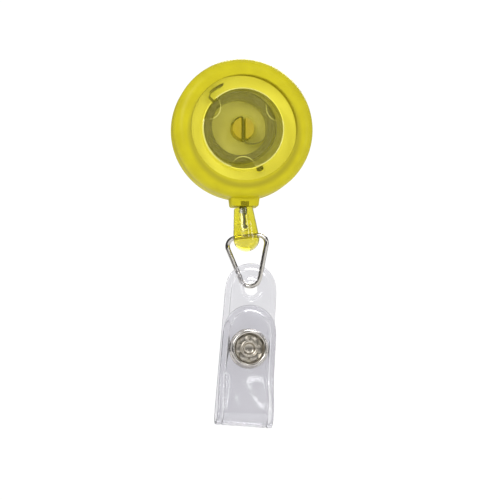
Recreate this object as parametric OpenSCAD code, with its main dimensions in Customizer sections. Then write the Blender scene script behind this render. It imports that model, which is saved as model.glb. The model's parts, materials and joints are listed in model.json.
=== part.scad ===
// Retractable badge reel: round translucent case, sprung spool with a wound cord, cord-end
// fitting, triangular wire ring and a folded vinyl strap that closes with a snap.
// Millimetres. The origin is on the spool axis, at the face of the belt clip that lies against
// the belt. +Z is up, +X is to the right seen from the front, and the front faces -Y.
// "Depth" in this file is the distance in front of the origin, so depth d is y = -d.

/* [Case] */
// Outer diameter of the case
case_d = 32; // [31:0.5:34]
// Front-to-back thickness of the case
case_t = 9.6; // [9.6:0.1:10.4]
// Thickness of the case's side wall
side_wall = 1.4; // [1.2:0.1:1.6]
// Thickness of the case's flat back
back_floor = 1.2; // [1:0.1:1.3]
// Diameter of the round label recess in the front
recess_d = 24.4; // [23:0.2:25]
// Depth of the label recess
recess_depth = 0.5; // [0.3:0.1:0.6]
// Radius of the case's rounded front edge
front_round = 2.6; // [2:0.1:3]
// Radius of the case's rounded back edge
back_round = 2; // [1.5:0.1:2.4]

/* [Spool] */
// Outer radius of the spool's two flanges
flange_r = 12.6; // [12.2:0.1:12.8]
// Outer radius of the spring drum on the front flange
drum_r = 9.4; // [9.2:0.1:9.8]
// Radius of the core that the cord is wound on
core_r = 6; // [5.8:0.1:6.2]
// Radius of the fixed post that the spool turns on
post_r = 2.5; // [2.3:0.1:2.6]
// Radial running clearance between the post and the spool
running_gap = 0.06; // [0.03:0.01:0.1]

/* [Cord] */
// Diameter of the cord
cord_d = 0.65; // [0.55:0.05:0.7]

/* [Cord end] */
// Length of the teardrop fitting on the cord's end
fitting_len = 10; // [9:0.2:11]
// Radius of the fitting's flat top
fitting_top_r = 2.15; // [2:0.05:2.3]
// Radius of the fitting's round lower end
fitting_end_r = 2.95; // [2.8:0.05:3.1]

/* [Ring] */
// Diameter of the ring's wire
wire_d = 1.05; // [0.9:0.05:1.1]

/* [Strap] */
// Thickness of the strap's vinyl
vinyl_t = 0.55; // [0.4:0.05:0.6]
// Half the strap's width at its round top
strap_top_half = 5.85; // [5.6:0.05:6.1]
// Half the strap's width at the bottom fold
strap_fold_half = 6.35; // [6:0.05:6.6]

/* [Belt clip] */
// Width of the belt clip
clip_w = 12; // [10:0.5:13]
// Gap between the clip's plate and its tongue
clip_gap = 4.3; // [4.2:0.1:4.6]

/* [Hidden] */
$fn = 64;
eps = 0.01;
slip = 0.03;                                  // clearance between pieces that are fixed together

yellow = [0.86, 0.80, 0.16, 0.8];
deep_yellow = [0.80, 0.68, 0.10];
nickel = [0.78, 0.77, 0.74];
vinyl = [0.82, 0.82, 0.86, 0.7];
black = [0.10, 0.10, 0.09];
steel = [0.42, 0.42, 0.40];

// Case, along the depth axis
clip_plate_t = 1.2;
case_r = case_d / 2;
back_d = clip_plate_t;                        // depth of the case's back face
front_d = back_d + case_t;                    // depth of the case's front face
mid_d = 6;                                    // depth of the parting plane, neck and strap
cavity_r = case_r - side_wall;
cavity_back_d = back_d + back_floor;
recess_floor_d = front_d - recess_depth;
cavity_front_d = 9.4;
lip_split_r = cavity_r + side_wall / 2;       // where the shells' overlapping lips meet
lip_len = 1.2;
lip_gap = 0.05;

// Neck that the cord leaves through
neck_top_half = 3.5;
neck_end_half = 3.1;
neck_x = 0.5;                                 // centre of the neck's outline
neck_top_z = -14.4;
neck_end_z = -17.65;
neck_depth_half = 2.7;
neck_round = 0.8;
exit_x = 0.35;                                // centre of the cord's bore
exit_r = 0.6;
exit_mouth_r = 1.15;
exit_mouth_len = 1.2;

// Spool, along the depth axis
flange_back_d = 2.65;
groove_back_d = 3.3;
groove_front_d = 5.3;
web_front_d = 5.9;
drum_front_d = 8.8;
cover_front_d = 9.1;
drum_in_r = 8.75;
post_tip_d = 9.1;
post_slot_w = 1;
cover_r = 9.3;
cover_hole_r = 3.2;
scallop_r = 2.9;
scallop_at_r = 9.5;
scallop_angles = [30, 150, 270];
spring_slot_angle = 138;
spring_slot_w = 1.3;
knot_angle = 295;
knot_notch_w = 1.7;

// Mainspring
spring_t = 0.22;
spring_back_d = 6.1;
spring_front_d = 8.6;
pack_centre = [-0.25, 0.1];
pack_start_angle = -24;
pack_end_angle = 4 * 360 + 131;
pack_start_r = 6.75;
pack_end_r = 8.3;

// Cord
cord_r = cord_d / 2;
winding_r = 8.5;                              // outside of the wound layers
groove_mid_d = (groove_back_d + groove_front_d) / 2;
inner_run = [
    [-6.945, -groove_mid_d, -5.485], [-5.6, -4.35, -7.1], [-4.3, -4.45, -8.8], [-2.95, -4.65, -10.7],
    [-1.9, -4.85, -12], [-0.9, -5.3, -13.1], [-0.15, -5.7, -13.95], [0.2, -5.9, -14.6],
    [0.33, -5.98, -15.1], [exit_x, -mid_d, -15.7]
];
outer_run_top_z = -15.7;
stopper_top_z = -16.75;
stopper_turn_r = 0.4;

// Cord-end fitting and ring share one frame: its origin is the middle of the fitting's top
hook_top = [exit_x, -mid_d, -17.85];
hook_tilt = 5.8;                              // lean of the fitting, its lower end to the right
hook_yaw = 30;                                // turn about its own axis, the right side to the front
bar_drop = 6.65;                              // from the fitting's top to the ring's bar
bar_bore_r = wire_d / 2 + 0.06;
fitting_cone_len = fitting_len - fitting_end_r;
throat_r = 1.05;
throat_len = 3.1;
shoulder_r = 0.45;
shoulder_len = 0.6;
chamber_end = 5.4;

ring_half = 5.45;                             // half the bar between the triangle's sharp corners
ring_corner_r = 1.8;
ring_leg_angle = 18;                          // of each leg from the ring's axis
ring_tip_r = 2.45;
ring_sharp_drop = ring_half / tan(ring_leg_angle);
tip_drop = ring_sharp_drop - ring_tip_r * (1 / sin(ring_leg_angle) - 1);

// Strap frame: its origin is the lowest point of the ring's wire
strap_at = hook_top + (bar_drop + tip_drop) * [sin(hook_tilt), 0, -cos(hook_tilt)];
strap_lean = 4;                               // the strap's lower end to the left
tab_top = 5.2;
tab_end = -2.6;                               // where the tab above meets the swinging strap
hole_r = 1.8;
hole_z = 0.4;
fold_r = 2.85;                                // middle of the vinyl at the fold
fold_z = -28.6;
flap_near = 2.95;                             // between the layers' middles at the snap
flap_top = -4.45;
flap_flat_z = -19;                            // below this the flap bows away from the back layer
snap_z = -14.3;

// Snap, along the strap's own depth axis; 0 is the middle of the back layer
half_t = vinyl_t / 2;
rivet_r = 1.45;
rivet_bore_r = 1.1;
rivet_hole_r = rivet_r + slip;
stud_head_r = 2.25;
stud_neck_r = 1.95;
eyelet_r = 3.9;
cup_base_r = 4.5;
cup_rim_r = 4;
cup_in_r = 3.4;
cup_height = 1.85;
petals = 6;

// --- helpers ---------------------------------------------------------------------------------

// Turns a shape drawn in the front view, with its height towards the front, to depth d.
module facing(d = 0) {
    translate([0, -d, 0]) rotate([90, 0, 0]) children();
}

// Revolves a [radius, depth] outline about the reel's axis.
module spin(outline) {
    facing() rotate_extrude() polygon(outline);
}

// Extrudes a [depth, height] outline across the object, w wide.
module across(w, outline) {
    rotate([90, 0, -90]) translate([0, 0, -w / 2]) linear_extrude(w) polygon(outline);
}

function arc(c, r, a0, a1, n = 8) =
    [for (i = [0:n]) let (a = a0 + (a1 - a0) * i / n) c + r * [cos(a), sin(a)]];

function unit(v) = v / norm(v);

// Outline of a strip of thickness t along a path in a plane.
function ribbon(path, t) =
    let (
        last = len(path) - 1,
        dirs = [for (i = [0:last]) unit(path[min(i + 1, last)] - path[max(i - 1, 0)])],
        side = [for (d = dirs) [-d[1], d[0]] * t / 2]
    )
    concat([for (i = [0:last]) path[i] + side[i]], [for (i = [last:-1:0]) path[i] - side[i]]);

// A round tube of radius r through the points of a path in space.
module tube(path, r, sides = 8) {
    last = len(path) - 1;
    function ahead(i) = unit(path[min(i + 1, last)] - path[max(i - 1, 0)]);
    function across_1(d) = unit(cross(d, [0, 1, 0.01]));
    rings = [for (i = [0:last]) let (d = ahead(i), u = across_1(d), v = cross(d, u))
        for (k = [0:sides - 1]) path[i] + r * (cos(360 * k / sides) * u + sin(360 * k / sides) * v)];
    walls = [for (i = [0:last - 1], k = [0:sides - 1])
        let (a = i * sides + k, b = i * sides + (k + 1) % sides) [b, a, a + sides, b + sides]];
    caps = [[for (k = [0:sides - 1]) k], [for (k = [sides - 1:-1:0]) last * sides + k]];
    polyhedron(rings, concat(walls, caps), convexity = 4);
}

// A rounded rectangle from exact pieces.
module soft_rectangle(w, h, r) {
    square([w - 2 * r, h], center = true);
    square([w, h - 2 * r], center = true);
    for (x = [-1, 1], y = [-1, 1]) translate([x * (w / 2 - r), y * (h / 2 - r)]) circle(r);
}

module hook_frame() {
    translate(hook_top) rotate([0, -hook_tilt, 0]) rotate([0, 0, -hook_yaw]) children();
}

module strap_frame() {
    translate(strap_at) rotate([0, strap_lean, 0]) children();
}

module snap_frame() {
    strap_frame() translate([0, 0, snap_z]) children();
}

// --- case ------------------------------------------------------------------------------------

// The neck's solid between two depths.
module neck_block(from_d, to_d) {
    intersection() {
        facing(from_d) linear_extrude(to_d - from_d) polygon([
            [neck_x - neck_top_half, neck_top_z], [neck_x - neck_end_half, neck_end_z],
            [neck_x + neck_end_half, neck_end_z], [neck_x + neck_top_half, neck_top_z]
        ]);
        translate([neck_x, -mid_d, neck_top_z - 10]) linear_extrude(20)
            soft_rectangle(2 * neck_top_half, 2 * neck_depth_half, neck_round);
    }
}

// The cord's bore through the neck, with a wider mouth for the knot.
module neck_bore() {
    translate([exit_x, -mid_d, neck_end_z - 1]) cylinder(r = exit_r, h = 5);
    translate([exit_x, -mid_d, neck_end_z - 1]) cylinder(r = exit_mouth_r, h = exit_mouth_len + 1);
}

module front_shell() {
    outer = concat(
        [[0, mid_d - lip_len], [lip_split_r - lip_gap, mid_d - lip_len], [lip_split_r - lip_gap, mid_d],
         [case_r, mid_d]],
        arc([case_r - front_round, front_d - front_round], front_round, 0, 90),
        [[recess_d / 2 + 0.1, front_d], [recess_d / 2 - 0.1, recess_floor_d], [0, recess_floor_d]]
    );
    inner_round = front_round - 1.2;
    cavity = concat(
        [[0, 0], [cavity_r, 0]],
        arc([cavity_r - inner_round, cavity_front_d - inner_round], inner_round, 0, 90),
        [[0, cavity_front_d]]
    );
    color(yellow) difference() {
        union() {
            spin(outer);
            neck_block(mid_d, mid_d + neck_depth_half + eps);
        }
        spin(cavity);
        neck_bore();
        // The overlapping lip stops at the neck, where the two shells meet on the parting plane.
        translate([neck_x - neck_top_half - 0.6, -mid_d, -case_r])
            cube([2 * neck_top_half + 1.2, 3, case_r - 12]);
    }
}

module back_shell() {
    outer = concat(
        [[0, back_d]],
        arc([case_r - back_round, back_d + back_round], back_round, -90, 0),
        [[case_r, mid_d], [0, mid_d]]
    );
    inner_round = 1;
    cavity = concat(
        [[0, cavity_back_d]],
        arc([cavity_r - inner_round, cavity_back_d + inner_round], inner_round, -90, 0),
        [[cavity_r, mid_d + 1], [0, mid_d + 1]]
    );
    lip_recess = [
        [0, mid_d - lip_len - lip_gap], [lip_split_r, mid_d - lip_len - lip_gap],
        [lip_split_r, mid_d + 1], [0, mid_d + 1]
    ];
    color(yellow) {
        difference() {
            union() {
                spin(outer);
                neck_block(mid_d - neck_depth_half - eps, mid_d);
            }
            spin(cavity);
            difference() {
                spin(lip_recess);
                translate([neck_x - neck_top_half - 0.5, -mid_d - 1, -case_r])
                    cube([2 * neck_top_half + 1, 5, case_r - 12]);
            }
            neck_bore();
        }
        spool_post();
        clip_stakes();
    }
}

// The fixed post: round where the spool turns on it, split in two where the spring hooks on.
module spool_post() {
    difference() {
        facing(cavity_back_d - 0.2) cylinder(r = post_r, h = post_tip_d - cavity_back_d + 0.2);
        facing(web_front_d) translate([-post_slot_w / 2, -post_r - 1, 0])
            cube([post_slot_w, 2 * post_r + 2, post_tip_d]);
    }
}

// Two stakes on the case's back, headed over in the clip plate's countersinks.
module clip_stakes() {
    for (z = [-1, 1] * stake_z) translate([0, 0, z]) {
        facing(stake_head_d) cylinder(r = stake_r, h = back_d - stake_head_d + 0.2);
        facing(stake_head_d) cylinder(r = stake_head_r, h = stake_head_t);
    }
}
stake_z = 6;
stake_r = 1;
stake_head_r = 1.7;
stake_head_d = 0.12;
stake_head_t = 0.4;

// --- belt clip -------------------------------------------------------------------------------

clip_top_z = 11;
clip_low_z = -10;
tongue_t = 1.3;
tongue_low_z = -13;
bend_out_r = (clip_gap + clip_plate_t + tongue_t) / 2;
bend_in_r = clip_gap / 2;
bend_mid = clip_plate_t - bend_out_r;         // depth of the bend's centre

module belt_clip() {
    color(yellow) difference() {
        union() {
            translate([0, 0, (clip_top_z + clip_low_z) / 2]) facing(0) linear_extrude(clip_plate_t)
                soft_rectangle(clip_w, clip_top_z - clip_low_z + 0.5, 0.24);
            clip_bend();
        }
        for (z = [-1, 1] * stake_z) translate([0, 0, z]) {
            facing(-1) cylinder(r = stake_r + slip, h = 3);
            facing(-1) cylinder(r = stake_head_r + slip, h = 1 + stake_head_d + stake_head_t + slip);
        }
    }
}

// The U-bend over the belt, round outside and inside.
module clip_bend() {
    translate([0, -bend_mid, clip_top_z]) rotate([0, 90, 0]) difference() {
        cylinder(r = bend_out_r, h = clip_w, center = true);
        cylinder(r = bend_in_r, h = clip_w + 1, center = true);
        translate([0, -bend_out_r - 1, -clip_w]) cube([bend_out_r + 1, 2 * bend_out_r + 2, 2 * clip_w]);
    }
}

// The springing tongue behind the belt, with a grip bead and a flared lead-in at its tip.
module belt_clip_tongue() {
    in_d = -clip_gap;
    out_d = in_d - tongue_t;
    outline = concat(
        [[out_d, clip_top_z - eps], [in_d, clip_top_z - eps], [in_d, tongue_low_z + 5.2]],
        arc([in_d - 0.6, tongue_low_z + 3.9], 1.4, 60, -50, 6),
        [[in_d - 1.6, tongue_low_z], [out_d - 1, tongue_low_z + 0.3], [out_d, tongue_low_z + 3]]
    );
    color(yellow) across(clip_w, outline);
}

// --- spool and spring --------------------------------------------------------------------------

module spool() {
    bore_r = post_r + running_gap;
    outline = [
        [bore_r, flange_back_d], [flange_r, flange_back_d], [flange_r, groove_back_d],
        [core_r, groove_back_d], [core_r, groove_front_d], [flange_r, groove_front_d],
        [flange_r, web_front_d], [drum_r, web_front_d], [drum_r, drum_front_d],
        [drum_in_r, drum_front_d], [drum_in_r, web_front_d], [bore_r, web_front_d]
    ];
    color([0.84, 0.80, 0.42]) difference() {
        spin(outline);
        rotate([0, -spring_slot_angle, 0]) translate([7.5, -drum_front_d - 1, -spring_slot_w / 2])
            cube([3, drum_front_d - web_front_d + 1, spring_slot_w]);
        rotate([0, -knot_angle, 0]) translate([drum_in_r + 0.1, -7.6, -knot_notch_w / 2])
            cube([1.6, 7.6 - groove_front_d + 0.2, knot_notch_w]);
    }
}

// The thin clear disc that keeps the spring in the drum.
module spring_cover() {
    color([0.9, 0.88, 0.5, 0.4]) facing(drum_front_d) linear_extrude(cover_front_d - drum_front_d)
        difference() {
            circle(cover_r);
            circle(cover_hole_r);
            for (a = scallop_angles)
                translate(scallop_at_r * [cos(a), sin(a)]) circle(scallop_r);
        }
}

// The flat spiral spring: hooked over half of the split post, through its slot, out to the pack
// against the drum, and out through the drum's slot to a tongue that is folded back.
module mainspring() {
    hook = arc([0, 0], post_r + 0.35, 150, 102, 4);
    arm = [[-0.15, 2.72], [0, 2.3], [0, 0], [0, -2.3], [0.25, -2.85], [1, -3.35], [2.2, -3.75],
           [3.6, -3.95], [4.8, -3.75], [5.5, -3.35]];
    steps = round((pack_end_angle - pack_start_angle) / 12);
    pack = [for (i = [0:steps]) let (
        f = i / steps,
        a = pack_start_angle + (pack_end_angle - pack_start_angle) * f,
        r = pack_start_r + (pack_end_r - pack_start_r) * f
    ) pack_centre * (1 - f) + r * [cos(a), sin(a)]];
    tongue = concat(
        [for (r = [8.6, 9.2, 9.6]) r * [cos(spring_slot_angle - 1), sin(spring_slot_angle - 1)]],
        arc([0, 0], 9.85, spring_slot_angle - 5, spring_slot_angle - 22, 4)
    );
    color(steel) facing(spring_back_d) linear_extrude(spring_front_d - spring_back_d)
        polygon(ribbon(concat(hook, arm, pack, tongue), spring_t));
}

// --- cord ---------------------------------------------------------------------------------------

// The outer shape of the cord's wound layers.
module cord_winding() {
    color(black) spin([
        [core_r, groove_back_d], [winding_r, groove_back_d], [winding_r, groove_front_d],
        [core_r, groove_front_d]
    ]);
}

// The knot that holds the cord's inner end, in front of its hole in the flange.
module cord_anchor_knot() {
    color(black) rotate([0, -knot_angle, 0]) {
        translate([drum_r + 0.15, -6.5, 0]) sphere(r = 0.7);
        translate([drum_r + 0.15, -6.5, 0]) rotate([90, 0, 0])
            translate([0, 0, -1.15]) cylinder(r = cord_r, h = 1);
    }
}

// The cord from the outside of the winding, which it leaves on a tangent, to the neck.
module cord_inner_run() {
    color(black) tube(inner_run, cord_r);
}

// The stretch in the neck, which draws out of the case.
module cord_outer_run() {
    color(black) translate([exit_x, -mid_d, stopper_top_z + 0.1])
        cylinder(r = cord_r, h = outer_run_top_z - stopper_top_z - 0.1);
}

// The wrapped knot at the top of the fitting.
module cord_stopper_knot() {
    turns = 3;
    pitch = 0.78;
    color(black) translate([exit_x, -mid_d, stopper_top_z - stopper_turn_r]) {
        for (i = [0:turns - 1]) translate([0, 0, -pitch * i]) rotate_extrude()
            translate([0.5, 0]) circle(stopper_turn_r, $fn = 24);
        translate([0, 0, -pitch * (turns - 1)]) cylinder(r = 0.5, h = pitch * (turns - 1) + 0.4);
    }
}

// The cord's tail below the knot, ending in a small second knot.
module cord_tail() {
    top = [exit_x + 0.13, -mid_d, stopper_top_z - 2.4];
    tail = [top, top + [0.05, 0, -0.6], top + [0.15, 0, -1.2], top + [0.2, 0, -1.8],
            top + [0.15, 0, -2.3], top + [0.3, 0, -2.8]];
    color(black) {
        tube(tail, cord_r * 0.9);
        translate(top + [0.32, 0, -3.1]) sphere(r = 0.55, $fn = 24);
    }
}

// --- cord-end fitting and ring -------------------------------------------------------------------

module cord_end_fitting() {
    body = concat(
        [[0, 0], [fitting_top_r - 0.25, 0], [fitting_top_r, -0.25]],
        arc([0, -fitting_cone_len], fitting_end_r, 6, -90, 16)
    );
    color(yellow) hook_frame() difference() {
        rotate_extrude() polygon(body);
        translate([0, 0, -throat_len]) cylinder(r = throat_r, h = throat_len + 1);
        translate([0, 0, -throat_len - shoulder_len - eps]) cylinder(r = shoulder_r, h = shoulder_len + 1);
        translate([0, 0, -chamber_end])
            cylinder(r = throat_r, h = chamber_end - throat_len - shoulder_len);
        // window at the back, through which the lower knot is tied
        rotate([0, 0, hook_yaw]) translate([-throat_r, 0, -chamber_end])
            cube([2 * throat_r, 5, chamber_end - throat_len - shoulder_len]);
        translate([0, 0, -bar_drop]) rotate([0, 90, 0])
            cylinder(r = bar_bore_r, h = 3 * fitting_end_r, center = true);
    }
}

// A length of the ring's wire along X, from x = 0.
module wire_straight(length) {
    rotate([0, 90, 0]) cylinder(r = wire_d / 2, h = length);
}

// A bend of the ring's wire in the XZ plane, about the origin, between two angles from +X.
// It runs a little way into the straights at both its ends, just inside their surface.
module wire_bend(r, from_a, to_a) {
    into = 3;
    rotate([0, into - from_a, 0]) rotate([90, 0, 0]) rotate_extrude(angle = to_a - from_a + 2 * into)
        translate([r, 0]) circle(wire_d / 2 - eps);
}

module wire_ring() {
    corner_back = ring_corner_r * tan(45 + ring_leg_angle / 2);   // from sharp corner to the bend
    tip_back = ring_tip_r / tan(ring_leg_angle);
    leg_len = ring_sharp_drop / cos(ring_leg_angle) - corner_back - tip_back;
    bar_half = ring_half - corner_back;
    color(nickel) hook_frame() translate([0, 0, -bar_drop]) {
        translate([-bar_half, 0, 0]) wire_straight(2 * bar_half);
        for (side = [0, 1]) mirror([side, 0, 0]) {
            translate([bar_half, 0, -ring_corner_r]) wire_bend(ring_corner_r, -ring_leg_angle, 90);
            translate([ring_half, 0, 0]) rotate([0, 90 + ring_leg_angle, 0])
                translate([corner_back, 0, 0]) wire_straight(leg_len);
        }
        translate([0, 0, ring_tip_r - tip_drop])
            wire_bend(ring_tip_r, 180 + ring_leg_angle, 360 - ring_leg_angle);
    }
}

// --- strap ------------------------------------------------------------------------------------

function strap_half(z) = strap_top_half
    + (strap_fold_half - strap_top_half) * (-z) / (fold_r + half_t - fold_z);

// Front-view outline between two heights, with the strap's slight taper.
module strap_band(low_z, high_z) {
    polygon([[-strap_half(low_z), low_z], [strap_half(low_z), low_z],
             [strap_half(high_z), high_z], [-strap_half(high_z), high_z]]);
}

// Round end: a circle as wide as the strap, whose top is at the given height, down to low_z.
module strap_round_end(top_z, low_z) {
    r = strap_half(top_z);
    intersection() {
        translate([0, top_z - r]) circle(r);
        translate([-r, top_z - r]) square([2 * r, r]);
    }
    strap_band(low_z, top_z - r);
}

// The vinyl above the swinging part, which stays on the ring.
module strap_tab() {
    color(vinyl) strap_frame() facing(-half_t) linear_extrude(vinyl_t) difference() {
        strap_round_end(tab_top, tab_end + half_t + 0.03);
        translate([0, hole_z]) circle(hole_r);
    }
}

module strap_back() {
    color(vinyl) strap_frame() difference() {
        union() {
            facing(-half_t) linear_extrude(vinyl_t) strap_band(fold_z, tab_end);
            translate([0, 0, tab_end]) rotate([0, 90, 0])
                cylinder(r = half_t, h = 2 * strap_half(tab_end), center = true);
        }
        translate([0, 0, snap_z]) facing(-1) cylinder(r = rivet_hole_r, h = 2);
    }
}

// The bent vinyl at the bottom, where the flap hinges when the snap is opened.
module strap_fold() {
    top_z = fold_z - eps;
    bend = concat([[0, top_z]], arc([fold_r, top_z], fold_r, 184, 356, 16), [[2 * fold_r, top_z]]);
    color(vinyl) strap_frame() across(2 * strap_fold_half - 0.1, ribbon(bend, vinyl_t));
}

function ease(f) = f * f * (3 - 2 * f);

// Depth of the flap's middle at height z.
function flap_depth(z) = z > flap_flat_z ? flap_near
    : flap_near + (2 * fold_r - flap_near) * ease((flap_flat_z - z) / (flap_flat_z - fold_z));

module strap_flap() {
    steps = 12;
    path = concat(
        [for (i = [0:steps]) let (z = fold_z + 0.04 + (flap_flat_z - fold_z) * i / steps)
            [flap_depth(z), z]],
        [[flap_near, flap_top + 1]]
    );
    color(vinyl) strap_frame() difference() {
        intersection() {
            across(2 * strap_fold_half + 1, ribbon(path, vinyl_t));
            facing(-1) linear_extrude(10) strap_round_end(flap_top, fold_z);
        }
        translate([0, 0, snap_z]) facing(0) cylinder(r = rivet_hole_r, h = 6);
    }
}

// --- snap: eyelet and stud on the back layer, socket, post and cup on the flap ------------------

module snap_eyelet() {
    flare_d = 1.5;
    outline = [
        [rivet_bore_r, -half_t - 0.45], [eyelet_r, -half_t - 0.3], [eyelet_r, -half_t],
        [rivet_r, -half_t], [rivet_r, flare_d - 0.25], [rivet_r + 0.25, flare_d],
        [rivet_bore_r, flare_d]
    ];
    color(nickel) snap_frame() spin(outline);
}

module snap_stud() {
    outline = [
        [rivet_hole_r, half_t], [3.5, half_t], [3.5, 0.6], [stud_neck_r, 0.6], [stud_neck_r, 1.35],
        [stud_head_r, 1.45], [stud_head_r, 1.8], [stud_head_r - 0.25, 2], [0.9, 2], [0.9, 1.8],
        [1.75, 1.8], [1.75, 0.55], [rivet_hole_r, 0.55]
    ];
    color(nickel) snap_frame() spin(outline);
}

module snap_socket() {
    flap_in = flap_near - half_t;
    outline = [
        [rivet_hole_r, flap_in], [eyelet_r, flap_in], [eyelet_r, flap_in - 0.35], [3.3, flap_in - 0.35],
        [3.3, 0.75], [stud_head_r + 0.1, 0.75], [stud_head_r + 0.1, 0.93], [2.75, 0.93],
        [2.75, 1.38], [stud_head_r + 0.2, 1.38], [stud_head_r + 0.2, flap_in - 0.35],
        [rivet_hole_r, flap_in - 0.35]
    ];
    color(nickel) snap_frame() spin(outline);
}

// The split wire ring in the socket, which grips the stud's neck.
module socket_spring() {
    wire_r = 0.18;
    gap_angle = 40;
    color(steel) snap_frame() facing(1.15) rotate([0, 0, 90 + gap_angle / 2])
        rotate_extrude(angle = 360 - gap_angle) translate([stud_neck_r + 0.12 + wire_r, 0])
            circle(wire_r, $fn = 24);
}

// The blind tubular rivet of the flap: its end is rolled over and split into petals in the cup.
module snap_post() {
    head_d = flap_near - half_t - 0.55;
    cup_floor_d = flap_near + half_t + 0.4;
    outline = [
        [0, head_d], [2.2, head_d], [2.2, head_d + 0.18], [rivet_r, head_d + 0.18],
        [rivet_r, cup_floor_d + 0.02], [2.25, cup_floor_d + 0.15], [2.25, cup_floor_d + 0.55],
        [1.75, cup_floor_d + 0.75], [rivet_bore_r, cup_floor_d + 0.6], [rivet_bore_r, head_d + 0.35],
        [0, head_d + 0.35]
    ];
    color(nickel) snap_frame() {
        spin(outline);
        for (i = [0:petals - 1]) rotate([0, 360 / petals * i, 0]) facing(cup_floor_d + 0.18)
            linear_extrude(0.22) translate([2.1, 0]) polygon([[0, -0.95], [0.95, -0.4], [0.95, 0.4], [0, 0.95]]);
    }
}

module snap_cup() {
    base_d = flap_near + half_t;
    rim_d = base_d + cup_height;
    outline = concat(
        [[rivet_hole_r, base_d], [cup_base_r, base_d], [cup_base_r, base_d + 0.35]],
        arc([cup_rim_r - 0.3, rim_d - 0.3], 0.3, 20, 160, 6),
        [[cup_in_r, base_d + 0.6], [cup_in_r - 0.2, base_d + 0.4], [rivet_hole_r, base_d + 0.4]]
    );
    color(nickel) snap_frame() spin(outline);
}

// --- assembly ---------------------------------------------------------------------------------

front_shell();
back_shell();
belt_clip();
belt_clip_tongue();
spool();
spring_cover();
mainspring();
cord_winding();
cord_anchor_knot();
cord_inner_run();
cord_outer_run();
cord_stopper_knot();
cord_tail();
cord_end_fitting();
wire_ring();
strap_tab();
strap_back();
strap_fold();
strap_flap();
snap_eyelet();
snap_stud();
snap_socket();
socket_spring();
snap_post();
snap_cup();
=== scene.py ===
"""Retractable badge reel: the looks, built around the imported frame.

Shapes are drawn in millimetres in local frames taken from the frame's joints, and placed in metres.
"Depth" is the distance in front of the belt clip's inner face, so depth d is y = -d.
"""
import json
import math

import bmesh
import bpy
import numpy as np
from mathutils import Matrix, Vector


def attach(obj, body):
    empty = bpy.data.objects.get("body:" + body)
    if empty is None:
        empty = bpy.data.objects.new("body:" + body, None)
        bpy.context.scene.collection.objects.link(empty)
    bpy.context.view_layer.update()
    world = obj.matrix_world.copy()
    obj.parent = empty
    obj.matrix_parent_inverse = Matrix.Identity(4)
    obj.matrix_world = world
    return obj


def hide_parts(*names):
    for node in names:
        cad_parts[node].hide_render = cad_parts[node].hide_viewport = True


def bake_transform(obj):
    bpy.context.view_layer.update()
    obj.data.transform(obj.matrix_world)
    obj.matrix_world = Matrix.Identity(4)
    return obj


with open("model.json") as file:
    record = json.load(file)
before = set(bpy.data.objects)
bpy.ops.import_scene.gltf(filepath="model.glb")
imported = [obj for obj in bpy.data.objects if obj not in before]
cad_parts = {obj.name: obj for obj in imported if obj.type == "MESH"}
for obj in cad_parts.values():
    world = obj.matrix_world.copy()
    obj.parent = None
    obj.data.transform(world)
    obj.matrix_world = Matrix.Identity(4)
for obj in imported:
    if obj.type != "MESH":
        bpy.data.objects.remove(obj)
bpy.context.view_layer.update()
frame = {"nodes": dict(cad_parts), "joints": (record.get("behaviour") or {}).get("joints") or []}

MM = 0.001
JOINTS = {joint["name"]: joint for joint in frame["joints"]}
TWIST, SWING = JOINTS["fitting_twist"], JOINTS["strap_swing"]


def local_frame(origin, x, z):
    """Matrix from millimetres in a local frame to metres in the row frame."""
    x, z = Vector(x).normalized(), Vector(z).normalized()
    turn = Matrix((x, z.cross(x), z)).transposed().to_4x4()
    return Matrix.Translation(Vector(origin)) @ turn @ Matrix.Scale(MM, 4)


ROW = Matrix.Scale(MM, 4)
# Front view: x to the right, y up, z towards the front, which is the depth.
REEL = local_frame((0, 0, 0), (1, 0, 0), (0, -1, 0))
FACING = REEL @ Matrix.Scale(1 / MM, 4)
# Cord-end fitting: origin in the middle of its top, z up along it, x along the ring's bar.
HOOK = local_frame(TWIST["pos_m"], JOINTS["ring_swing"]["axis"], -Vector(TWIST["axis"]))
# Strap: origin at the lowest point of the ring's wire, x across it, z up along it.
STRAP = local_frame(SWING["pos_m"], SWING["axis"], Vector(SWING["axis"]).cross((0, 1, 0)))

# Case
CASE_R = 16
BACK_D = 1.2
FRONT_D = 10.8
MID_D = 6
RECESS_R = 12.2
RECESS_D = 10.3
NECK_X = 0.5
NECK_TOP_Z = -14.4
NECK_END_Z = -17.65
NECK_HALF_D = 2.7
CAVITY_R = 14.6
MOUTH_Z = -16.6
MOUTH_HALF = 0.95
EXIT_X = 0.35
STAKE_Z = (-6, 6)

# Spool and cord
POST_R = 2.5
FLANGE_R = 12.6
DRUM_R = 9.4
DRUM_WALL_R = 9.2
CORE_R = 6
CORD_R = 0.325
LAYER_R = [6.325, 6.925, 7.525, 8.125]
LAST_TURN_R = 8.775
GROOVE_D = (3.3, 5.3)
LEAVE_ANGLE = -141.7
KNOT_ANGLE = 295

# Fitting and ring
BAR_DROP = 6.65
FITTING_LEN = 10
FITTING_TOP_R = 2.15
FITTING_END_R = 2.95
WIRE_R = 0.525
RING_HALF = 5.45
RING_CORNER_R = 1.8
RING_LEG_ANGLE = math.radians(18)
RING_TIP_R = 2.45

# Strap and snap
VINYL_T = 0.5
TAB_TOP = 5.2
HOLE_R = 1.5
FOLD_R = 2.85
FOLD_Z = -28.6
FLAP_TOP = -4.45
FLAP_NEAR = 2.95
FLAP_FLAT_Z = -19
SEAM_Z = -27
SNAP_Z = -14.3
SNAP = STRAP @ Matrix.Translation((0, 0, SNAP_Z)) @ FACING


# --- shader nodes ---

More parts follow.
